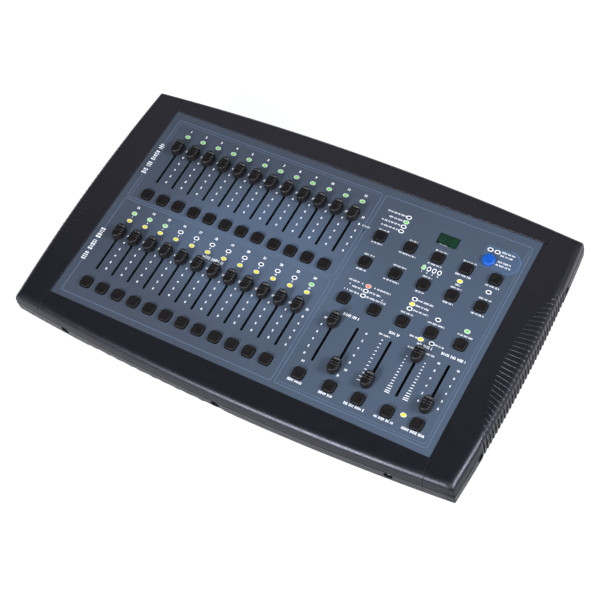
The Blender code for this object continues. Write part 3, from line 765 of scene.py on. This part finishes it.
def screw(name, matrix, radius):
    """A pan-head screw with a cross recess."""

    def head(bm):
        profile = ((0.96, 0.02), (1, 0.35), (0.93, 0.85), (0.72, 1.25), (0.4, 1.45))
        turned(bm, 0, 0, [(radius * share, z) for share, z in profile], 28)

    def cross(bm):
        arm, wide = radius * 0.62, radius * 0.13
        outline = []
        for quarter in range(4):
            angle = math.radians(90 * quarter)
            outline += [spun(x, y, angle) for x, y in ((arm, -wide), (arm, wide), (wide, wide))]
        prism(bm, outline, 0.55, 3)

    cut(piece(name, head, "screw_black", matrix), cross, matrix)


# ---- face panel ----


def slot_places():
    return [(x, y) for y in (BANK_A_Y, BANK_B_Y) for x in CHANNEL_X] + [(x, BANK_B_Y) for x in MASTER_X]


def face_panel():
    def plate(bm):
        prism(bm, rectangle(0, PANEL_DEPTH / 2, 2 * HALF_PANEL, PANEL_DEPTH), -PANEL_THICK, 0)

    def holes(bm):
        outlines = [rounded(x, y, *SLOT_SIZE, 1.1, 4) for x, y in slot_places()]
        for xs, y in KEY_ROWS.values():
            outlines += [rounded(x, y, KEY_HOLE, KEY_HOLE, 3.9, 7) for x in xs]
        outlines.append(ellipse(*BUTTON_CENTRE, 2 * BUTTON_RADIUS + 1, 2 * BUTTON_RADIUS + 1, 40))
        outlines.append(rounded(*DISPLAY_CENTRE, DISPLAY_SIZE[0] + 0.5, DISPLAY_SIZE[1] + 0.5, 0.5, 3))
        outlines.append(ellipse(*MICROPHONE, 2.2, 2.2, 20))
        for outline in outlines:
            prism(bm, outline, -PANEL_THICK - 1, 1)

    panel = piece("panel_plate", plate, "panel_blue", replaces=("face_panel",))
    cut(panel, holes, DECK)
    modified(panel, "BEVEL", width=0.18 * MM, segments=2, limit_method="ANGLE", angle_limit=math.radians(50))
    panel.data.shade_flat()


# ---- print on the panel ----


class Print:
    """Flat print on the panel's face, gathered by ink so that each ink is one piece."""

    def __init__(self):
        self.inks = {}
        self.numbers = {}

    def ink(self, name):
        return self.inks.setdefault(name, bmesh.new())

    def bar(self, x, y, width, depth):
        flat(self.ink("print_white"), rectangle(x - HALF_PANEL, y, width, depth))

    def number_mesh(self, text):
        """A number's flat mesh, one unit high, made once."""
        if text not in self.numbers:
            curve = bpy.data.curves.new("number", "FONT")
            curve.body = text
            curve.align_x = curve.align_y = "CENTER"
            curve.resolution_u = 3
            curve.offset = 0.05
            obj = add("number", curve)
            self.numbers[text] = evaluated(obj)
            bpy.data.objects.remove(obj)
        return self.numbers[text]

    def number(self, number, x, y, size):
        bm = self.ink("print_white")
        before = len(bm.verts)
        bm.from_mesh(self.number_mesh(str(number)))
        bm.verts.ensure_lookup_table()
        matrix = Matrix.Translation((x - HALF_PANEL, y, PRINT_LIFT)) @ Matrix.Diagonal((size, size, 1, 1))
        bmesh.ops.transform(bm, matrix=matrix, verts=bm.verts[before:])

    def scale(self, x, ys):
        for value, y in zip((10, 8, 6, 4, 2, 0), ys):
            self.number(value, x, y, 3.3)

    def ticks(self, x, y, length, height=1.9, pen=0.62, turn=0):
        """A caption's place, filled with plain upright ticks in groups. It spells nothing."""
        spin = math.radians(turn)
        length, height = length * TICK_STRETCH[0], height * TICK_STRETCH[1]
        at = -length / 2
        run = dice.randint(3, 6)
        while at < length / 2 - pen * 0.5:
            width = pen * dice.choice((0.6, 0.75, 0.9, 1.2))
            tall = height * dice.choice((0.7, 0.9, 1.0))
            if run == 0:
                at += pen * 1.5
                run = dice.randint(3, 6)
            corners = [spun(at + px, py, spin) for px, py in rectangle(width / 2, 0, width, tall)]
            flat(self.ink("print_white"), [(x - HALF_PANEL + px, y + py) for px, py in corners])
            at += width + pen * 0.66
            run -= 1

    def arrow(self, x, y, size):
        """A small triangle that points to the rear."""
        half, foot = size * 0.7, y - size * 0.6
        x -= HALF_PANEL
        flat(self.ink("print_white"), [(x, y + size), (x - half, foot), (x + half, foot)])

    def outline(self, path, width, ink):
        """A line of constant width along an open path of panel points."""
        bm = self.ink(ink)
        sides = ([], [])
        for k, (x, y) in enumerate(path):
            before, after = Vector(path[max(0, k - 1)]), Vector(path[min(len(path) - 1, k + 1)])
            across = (after - before).normalized() * width / 2
            for side, sign in zip(sides, (1, -1)):
                place = (x - HALF_PANEL - sign * across.y, y + sign * across.x, PRINT_LIFT)
                side.append(bm.verts.new(place))
        for k in range(len(path) - 1):
            bm.faces.new((sides[0][k], sides[1][k], sides[1][k + 1], sides[0][k + 1]))

    def patch(self, path, ink):
        """A filled shape under the rest of the print."""
        flat(self.ink(ink), [(x - HALF_PANEL, y) for x, y in path], PRINT_LIFT / 2)

    def finish(self):
        """Makes each ink one piece, with every face turned up."""
        for name, bm in self.inks.items():
            for face in bm.faces:
                face.normal_update()
                if face.normal.z < 0:
                    face.normal_flip()
            mesh = mesh_of("legend_" + name, bm, DECK, name, recalc=False)
            show("legend_" + name.split("_")[1], mesh)


def bent(points, radius, steps=6):
    """A polyline with its inner corners rounded."""
    path = [points[0]]
    for before, corner, after in zip(points, points[1:], points[2:]):
        b, c, a = Vector(before), Vector(corner), Vector(after)
        start, end = c + (b - c).normalized() * radius, c + (a - c).normalized() * radius
        for step in range(steps + 1):
            t = step / steps
            path.append(tuple(start * (1 - t) ** 2 + c * 2 * t * (1 - t) + end * t * t))
    return path + [points[-1]]


LAMP_RINGS = []
LAMPS = {"lens_green": [], "lens_yellow": [], "lens_orange": [], "lens_dark": []}


def lamp(x, y, kind, size=LAMP_SIZE):
    LAMP_RINGS.append((x - HALF_PANEL, y, *size))
    LAMPS["lens_" + kind].append((x - HALF_PANEL, y, *size))


def lamps():
    for name, places in LAMPS.items():

        def lenses(bm, places=places, grow=0.50 if name == "lens_dark" else 0.84):
            for x, y, width, depth in places:
                loops = []
                for share, z in ((1.0, 0.02), (0.97, 0.12), (0.85, 0.24), (0.6, 0.34), (0.3, 0.39)):
                    outline = ellipse(x, y, width * grow * share, depth * grow * share)
                    loops.append([(px, py, z) for px, py in outline])
                loft(bm, loops)

        piece("lamps_" + name.split("_")[1], lenses, name, angle=60)

    def rings(bm):
        for x, y, width, depth in LAMP_RINGS:
            ring(bm, ellipse(x, y, width, depth), ellipse(x, y, width * 0.64, depth * 0.60), PRINT_LIFT + 0.01)

    piece("lamp_rings", rings, "print_white", recalc=False)


def legends():
    """All print, with the lamps' places. Positions are measured on the panel from its front left corner."""
    sheet = Print()
    for k in range(CHANNELS):
        x = 30 + PITCH * k
        sheet.number(k + 1, x, 239.3, 3.6)
        lamp(x, 231.5, "green")
        sheet.scale(x + 10, SCALE_A)
        sheet.number(k + 13, x, 128.0, 3.6)
        lamp(x, 120.0, "green" if k in (0, 1, 2, 11) else "dark")
        sheet.number(k + 1, x, 115.1, 2.5)
        lamp(x, 110.0, "yellow")
        sheet.scale(x + 10, SCALE_B)
    sheet.ticks(140, 104.3, 22, 3.2, 1.1)
    for y in (191.5, 70.0):
        sheet.ticks(8.9, y, 38, 5.0, 1.7, turn=90)

    bank_a = [(9, 137), (9, 248.7), (266, 248.7), (266, 141), (262, 137), (9, 137)]
    bank_b = [(9, 134), (9, 7.2), (266, 7.2), (266, 130), (262, 134), (9, 134)]
    masters = [(270, 7.2), (270, 248.7), (436, 248.7), (436, 7.2), (270, 7.2)]
    for path in (bank_a, bank_b, masters):
        sheet.outline(bent(path, 3.2), 0.85, "print_blue")
    for path in ([(12.5, 140), (12.5, 245.6), (262.8, 245.6)], [(273.2, 10.4), (432.8, 10.4), (432.8, 245.6)]):
        sheet.outline(bent(path, 3.0), 0.5, "print_blue")

    master_section(sheet)
    sheet.finish()


def master_section(sheet):
    small, fine, tiny = (1.8, 0.58), (1.75, 0.58), (1.7, 0.55)
    for x, length in ((304.5, 15), (353.3, 10.5), (385.3, 13), (416.7, 22)):
        sheet.ticks(x, 103.7, length, 2.9, 0.95)
    for k in range(0, 11, 2):
        y = 48.2 + 4.41 * k
        for value, x, size in ((k, 281.5, 3.2), (10 - k, 327.8, 3.2), (k, 406.7, 3.0), (k, 427.5, 3.0)):
            sheet.number(value, x, y, size)
    sheet.ticks(284.7, 39.8, 2.4, 2.2, 0.8)
    sheet.ticks(324.2, 39.8, 2.4, 2.2, 0.8)
    sheet.ticks(345.0, 98.3, 11, *tiny)
    for k in range(12):
        sheet.bar(345.2, 92.5 - 4.4 * k, 1.9 + (3.1 if k > 9 else 0.08 * k), 0.8)
    for x in (375.2, 395.0):
        for k in range(14):
            y = 86.8 - 43.0 * (1 - (1 - k / 13) ** 1.2)
            sheet.bar(x, y, 1.7 + 0.16 * k if k < 10 else 4.6 + 0.3 * (k - 10), 0.8)
    sheet.ticks(374.5, 97.0, 5.5, *tiny)
    sheet.ticks(395.5, 97.0, 7.5, *tiny)

    rows = {208.3: (10, 8, 12, 13), 175.3: (10, 12, 9, 10, 12), 191.2: (11, 16, 14, 15, 13), 156.6: (10, 16, 8, 10, 12)}
    for y, lengths in rows.items():
        for x, length in zip(FUNCTION_X, lengths):
            sheet.ticks(x + HALF_PANEL, y, length, *fine)
    for x, length in zip(FUNCTION_X, (14, 13, 20, 18, 22)):
        sheet.ticks(x + HALF_PANEL, 16.7, length, 2.6, 0.85)
    for x, length in zip(FUNCTION_X[2:], (12, 15, 14)):
        sheet.ticks(x + HALF_PANEL, 129.6, length, *fine)

    for y, kind, length in ((232.5, "dark", 18), (226.3, "green", 14), (220.3, "dark", 19), (214.3, "dark", 17)):
        lamp(304.2, y, kind)
        sheet.ticks(299.3 - length / 2, y + 0.2, length, *small)
    for k, kind in enumerate(("green", "dark", "dark", "dark")):
        lamp(345 + 5.85 * k, 184.6, kind, (4.4, 6.0))
        sheet.number(k + 1, 345 + 5.85 * k, 179.6, 2.3)
    lamp(385.3, 184.2, "yellow")
    sheet.ticks(385.3, 179.4, 5, 1.7, 0.58)
    lamp(416.7, 184.2, "dark")
    lamp(353.7, 147.3, "dark")
    lamp(353.7, 141.3, "yellow")
    for x, kind in ((353.7, "dark"), (385.2, "dark"), (416.7, "green")):
        lamp(x, 135.5, kind)
    for y, length in ((147.3, 15), (141.3, 13), (135.5, 14)):
        sheet.ticks(358.5 + length / 2, y, length, *fine)
    for y, kind in ((141.7, "orange"), (135.7, "dark"), (129.7, "dark")):
        lamp(304.2, y, kind)
    for x in (297.4, 311.4):
        sheet.arrow(x, 142.2, 1.3)
    for y, shift, left, right in ((142.2, 5.5, 11, 14), (135.9, 0, 10, 11), (129.9, 0, 10, 19)):
        sheet.ticks(299.2 - shift - left / 2, y, left, 1.9, 0.6)
        sheet.ticks(309.2 + shift + right / 2, y, right, 1.9, 0.6)
    sheet.arrow(285.5, 137.6, 1.1)
    sheet.arrow(324.5, 132.6, 1.1)
    sheet.number(1, 283.0, 130.0, 2.4)
    sheet.number(2, 286.2, 130.0, 2.4)
    lamp(379.2, 109.0, "yellow")
    lamp(391.2, 109.0, "dark")
    sheet.ticks(371.5, 109.0, 7.5, *tiny)
    sheet.ticks(399.5, 109.0, 9, *tiny)
    lamp(400.8, 29.0, "yellow")
    lamp(397.2, 230.5, "dark")
    lamp(405.0, 230.5, "dark")
    for x, y, length in ((416.5, 232.0, 13), (416.0, 228.0, 12), (417.0, 220.5, 13), (417.0, 216.5, 14)):
        sheet.ticks(x, y, length, *small)
    sheet.ticks(268.3, 205.0, 8, 1.6, 0.55)
    edge = bent([(392, 224), (392, 209), (424, 209), (432, 216), (432, 228), (424, 236), (392, 236), (392, 222)], 5)
    sheet.patch(edge, "print_sky")
    sheet.outline(edge[8:-8], 1.5, "print_azure")


# ---- caps, keys, button and display ----


def cap_height(y, edge):
    """The top of a fader cap: a saddle with a steep lip at its rear and cross ridges in it, rounded off at its edge."""
    dip = CAP_DIP * (1 - smooth(5.0, 6.6, y) if y > 0 else max(0, 1 - (y / 7.4) ** 2) ** 1.3)
    ridge = CAP_RIDGE * (0.5 + 0.5 * math.cos(2 * math.pi * y / CAP_RIDGE_PITCH))
    return CAP_TOP - dip + ridge * (1 - smooth(4.2, 4.9, y)) * (1 - smooth(5.4, 6.4, -y)) - edge


def fader_mesh():
    """A cap on its lever. Its origin is on the slot's line, at the panel's face."""
    bm = bmesh.new()
    width, length = CAP_SIZE
    corners = rounded(0, 0, width, length, CAP_CORNER, 12)
    base = []
    for k, (x, y) in enumerate(corners):
        # More points along the straights, so that the saddle and ridges have something to follow.
        after_x, after_y = corners[(k + 1) % len(corners)]
        parts = 36 if math.dist((x, y), (after_x, after_y)) > 6 else 1
        base += [(x + (after_x - x) * step / parts, y + (after_y - y) * step / parts) for step in range(parts)]

    def scaled(shrink):
        return [(x * (1 - 2 * shrink / width), y * (1 - 2 * shrink / length)) for x, y in base]

    loops = [[(x, y, z) for x, y in scaled(shrink)] for shrink, z in ((0.25, 2.0), (0.0, 2.25))]
    turns = [math.radians(degrees) for degrees in (0, 18, 36, 54, 72, 90)]
    tops = [(0.12, 5.2)] + [(0.55 + CAP_EDGE * (1 - math.cos(turn)), CAP_EDGE * (1 - math.sin(turn))) for turn in turns]
    tops += [(shrink, 0) for shrink in (2.5, 2.8, 3.15, 3.5, 3.9, 4.3, 4.7, 5.1, 5.55)]
    loops += [[(x, y, cap_height(y, edge)) for x, y in scaled(shrink)] for shrink, edge in tops]
    loft(bm, [[(x, y + CAP_SHIFT, z) for x, y, z in loop] for loop in loops])
    prism(bm, rectangle(0, 0, 1.4, 4.8), -12.5, 3.0)
    return mesh_of("fader", bm, Matrix.Scale(MM, 4), "cap_black", 50)


def faders():
    mesh = fader_mesh()
    inverse = DECK.inverted()
    for name in sorted(frame["bodies"]):
        if not (name.startswith("fader_") or name.endswith("_fader")):
            continue
        low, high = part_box(name)
        middle = inverse @ ((low + high) / 2)
        place = DECK @ Vector((middle.x, nearest_stop(middle.y), 0))
        obj = add("cap_" + name, mesh)
        obj.matrix_world = Matrix.Translation(place) @ Matrix.Rotation(DECK_SLOPE, 4, "X")
        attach(obj, name)
        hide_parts(name)


def nearest_stop(y):
    """The end of a fader's travel that it stands at."""
    stops = [bank + end * TRAVEL / 2 for bank in (BANK_A_Y, BANK_B_Y) for end in (-1, 1)]
    return min(stops, key=lambda stop: abs(stop - y))


def key_rows():
    """Dished key tops on a common strip, one piece for each row."""
    rim = ((0, -5.0), (0, 2.0), (0.06, 2.35), (0.25, 2.68), (0.55, 2.9), (0.95, KEY_TOP))
    dish = ((2.0, 2.9), (3.2, 2.78), (4.6, 2.7))
    for name, (xs, y) in KEY_ROWS.items():

        def build(bm, xs=xs, y=y):
            for x in xs:
                loops = []
                for shrink, z in rim + dish:
                    size, radius = KEY_SIZE - 2 * shrink, max(0.9, KEY_CORNER - shrink)
                    loops.append([(px, py, z) for px, py in rounded(x, y, size, size, radius, 6)])
                loft(bm, loops)
            left, right = xs[0] - KEY_SIZE / 2 - 1, xs[-1] + KEY_SIZE / 2 + 1
            prism(bm, [(left, y - 4), (right, y - 4), (right, y + 4), (left, y + 4)], -5.5, -3.5)

        piece("caps_" + name, build, "key_black", body=name, replaces=(name,), angle=50)


def button_and_display():
    def button(bm):
        skirt = [(8.4, -5.5), (8.4, -3.5), (BUTTON_RADIUS, -3.5), (BUTTON_RADIUS, 2.3)]
        dome = [(6.55, 2.9), (6.1, 3.3), (5.3, 3.5), (4.0, 3.58), (2.0, 3.6)]
        turned(bm, *BUTTON_CENTRE, skirt + dome, 48)

    name = "fog_button"
    piece("cap_fog_button", button, "button_blue", body=name, replaces=(name,), angle=50)

    def window(bm):
        outline = rounded(*DISPLAY_CENTRE, *DISPLAY_SIZE, 0.4, 3)
        inner = rounded(*DISPLAY_CENTRE, DISPLAY_SIZE[0] - 0.5, DISPLAY_SIZE[1] - 0.5, 0.3, 3)
        loops = [[(x, y, -PANEL_THICK) for x, y in outline], [(x, y, -0.35) for x, y in outline]]
        loft(bm, loops + [[(x, y, -0.15) for x, y in inner]])

    piece("window_pane", window, "window_green", replaces=("display_window",))

    def digits(bm):
        cx, cy = DISPLAY_CENTRE
        half, tall, pen, lean = 1.75, 3.3, 0.62, 0.10
        # The zero's six bars, and the one's two of them, by their ends: left or right, and top, middle or foot.
        ends = ((-1, 1, 1, 1), (1, 1, 1, 0), (1, 0, 1, -1), (-1, -1, 1, -1), (-1, 0, -1, -1), (-1, 1, -1, 0))
        bars = [(Vector((half * a, tall * b)), Vector((half * c, tall * d))) for a, b, c, d in ends]
        for place, lit in ((-6.2, bars), (0, bars[1:3]), (6.2, bars)):
            for start, end in lit:
                along = (end - start).normalized() * pen
                across = Vector((-along.y, along.x)) / 2
                low, high = start + along * 0.75, end - along * 0.75
                corners = [low - along / 2, low - across, high - across, high + along / 2, high + across, low + across]
                flat(bm, [(cx + place + p.x + lean * p.y, cy + p.y) for p in corners], -0.12)

    piece("display_digits", digits, "digit_green", recalc=False)

    def gauze(bm):
        x, y = MICROPHONE
        turned(bm, x, y, [(1.05, -1.4), (1.05, -0.6), (0.7, -0.5)], 20)

    piece("microphone_gauze", gauze, "socket_black")


# ---- base and sockets ----


def node_colours():
    """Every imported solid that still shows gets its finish."""
    for finish, names in {
        "sheet_black": ("base_tray", "rear_panel"),
        "board_green": ("fader_board_a", "fader_board_b", "master_board"),
        "cap_black": ("power_rocker",),
        "socket_black": ("display_module", "power_switch_body", "dc_inlet", *MIDI_SOCKETS),
        "socket_metal": ("dmx_socket", "audio_jack"),
    }.items():
        for name in names:
            mesh = frame["nodes"][name].data
            mesh.materials.clear()
            mesh.materials.append(MATERIALS[finish])


def facing_back(x, y, z):
    """Z along the desk's back, from a point in the row frame in millimetres."""
    return Matrix.Scale(MM, 4) @ Matrix.Translation((x, y, z)) @ Matrix.Rotation(math.radians(-90), 4, "X")


def node_back(name):
    """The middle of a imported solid's rear end."""
    low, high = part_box(name)
    return (low.x + high.x) / 2 / MM, high.y / MM, (low.z + high.z) / 2 / MM


def rear_details():
    x, y, z = node_back("dmx_socket")

    def contacts(bm):
        for degrees in (198, 234, 270, 306, 342):
            place = spun(4.6, 0, -math.radians(degrees))
            turned(bm, *place, [(1.5, 1.1), (1.5, 1.25), (1.35, 1.35), (0.75, 1.35), (0.75, 1.1)], 18, True)

    piece("dmx_contacts", contacts, "contact_gold", facing_back(x, y - 3, z))
    for k, (dx, dz) in enumerate(((-9.5, 12.0), (9.5, -12.0)), start=1):
        screw(f"dmx_screw_{k}", facing_back(x + dx, y - 1.0, z + dz), 2.6)

    def holes(bm):
        for degrees in (0, 45, 90, 135, 180):
            place = spun(4.4, 0, math.radians(degrees))
            turned(bm, *place, [(1.1, 0.02), (1.1, 0.16), (0.95, 0.2), (0.55, 0.2), (0.55, 0.02)], 16, True)

    for name in MIDI_SOCKETS:
        x, y, z = node_back(name)
        piece(name + "_contacts", holes, "socket_metal", facing_back(x, y - 1.8, z))
        for side, sign in (("left", -1), ("right", 1)):
            screw(f"{name}_screw_{side}", facing_back(x + sign * 12.5, y - 0.55, z), 2.3)
    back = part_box("rear_panel")[1].y / MM
    for k, x in enumerate((-232, -130, 0, 105, 205, 232), start=1):
        screw(f"rear_screw_{k}", facing_back(x, back + 0.02, 14 if k % 2 else 64), 3.0)


def base_details():
    for name in ("foot_front_left", "foot_front_right", "foot_rear_left", "foot_rear_right"):
        low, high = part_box(name)

        def foot(bm):
            top = high.z / MM
            rim = [(4.0, 1.0), (4.4, 0.2), (5.0, 0.0), (8.2, 0.0), (8.7, 0.4), (9.0, 1.5)]
            place = (low.x + high.x) / 2 / MM, (low.y + high.y) / 2 / MM
            turned(bm, *place, rim + [(8.8, top - 0.5), (8.5, top)], 36)

        piece(name + "_rubber", foot, "foot_rubber", Matrix.Scale(MM, 4), replaces=(name,))
    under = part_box("base_tray")[0].z / MM
    places = [(x, y) for x in (-180, -60, 60, 180) for y in (-110, 110)]
    for k, (x, y) in enumerate(places, start=1):
        matrix = Matrix.Scale(MM, 4) @ Matrix.Translation((x, y, under - 0.02)) @ Matrix.Rotation(math.pi, 4, "X")
        screw(f"tray_screw_{k}", matrix, 3.0)


# ---- camera, light and floor ----


def area(name, place, target, size, power, colour=(1, 1, 1)):
    data = bpy.data.lights.new(name, "AREA")
    data.shape = "RECTANGLE"
    data.size, data.size_y = size
    data.energy = power
    data.color = colour
    obj = add(name, data)
    obj.location = place
    obj.rotation_euler = (Vector(target) - Vector(place)).to_track_quat("-Z", "Y").to_euler()


def studio():
    scene = bpy.context.scene
    scene.view_settings.view_transform = "Standard"
    world = bpy.data.worlds.new("studio")
    world.use_nodes = True
    sky = world.node_tree.nodes["Background"].inputs
    sky["Color"].default_value = (0.90, 0.95, 1.06, 1)
    sky["Strength"].default_value = 0.15
    scene.world = world
    cool = (0.95, 0.98, 1.07)
    area("key", (1.81, 0.06, 1.30), (0.05, 0, 0.05), (0.8, 0.6), 36, cool)
    area("fill_front", (-0.48, -2.05, 1.25), (0, -0.1, 0.05), (0.75, 0.8), 54, cool)
    area("fill_camera", (0.90, -1.00, 1.95), (0, 0, 0.05), (1.2, 1.2), 14)

    bm = bmesh.new()
    bmesh.ops.create_grid(bm, x_segments=12, y_segments=12, size=40)
    add("floor", mesh_of("floor", bm, Matrix.Identity(4), "floor_white"))

    data = bpy.data.cameras.new("camera")
    data.lens = 77.94
    data.sensor_width = 36
    camera = add("camera", data)
    camera.location = (0.5033, -0.66909, 1.10499)
    camera.rotation_euler = [math.radians(angle) for angle in (37.071, 5.151, 29.953)]
    scene.camera = camera


studio()
frame_screws(frame_pieces())
face_panel()
legends()
lamps()
faders()
key_rows()
button_and_display()
node_colours()
rear_details()
base_details()
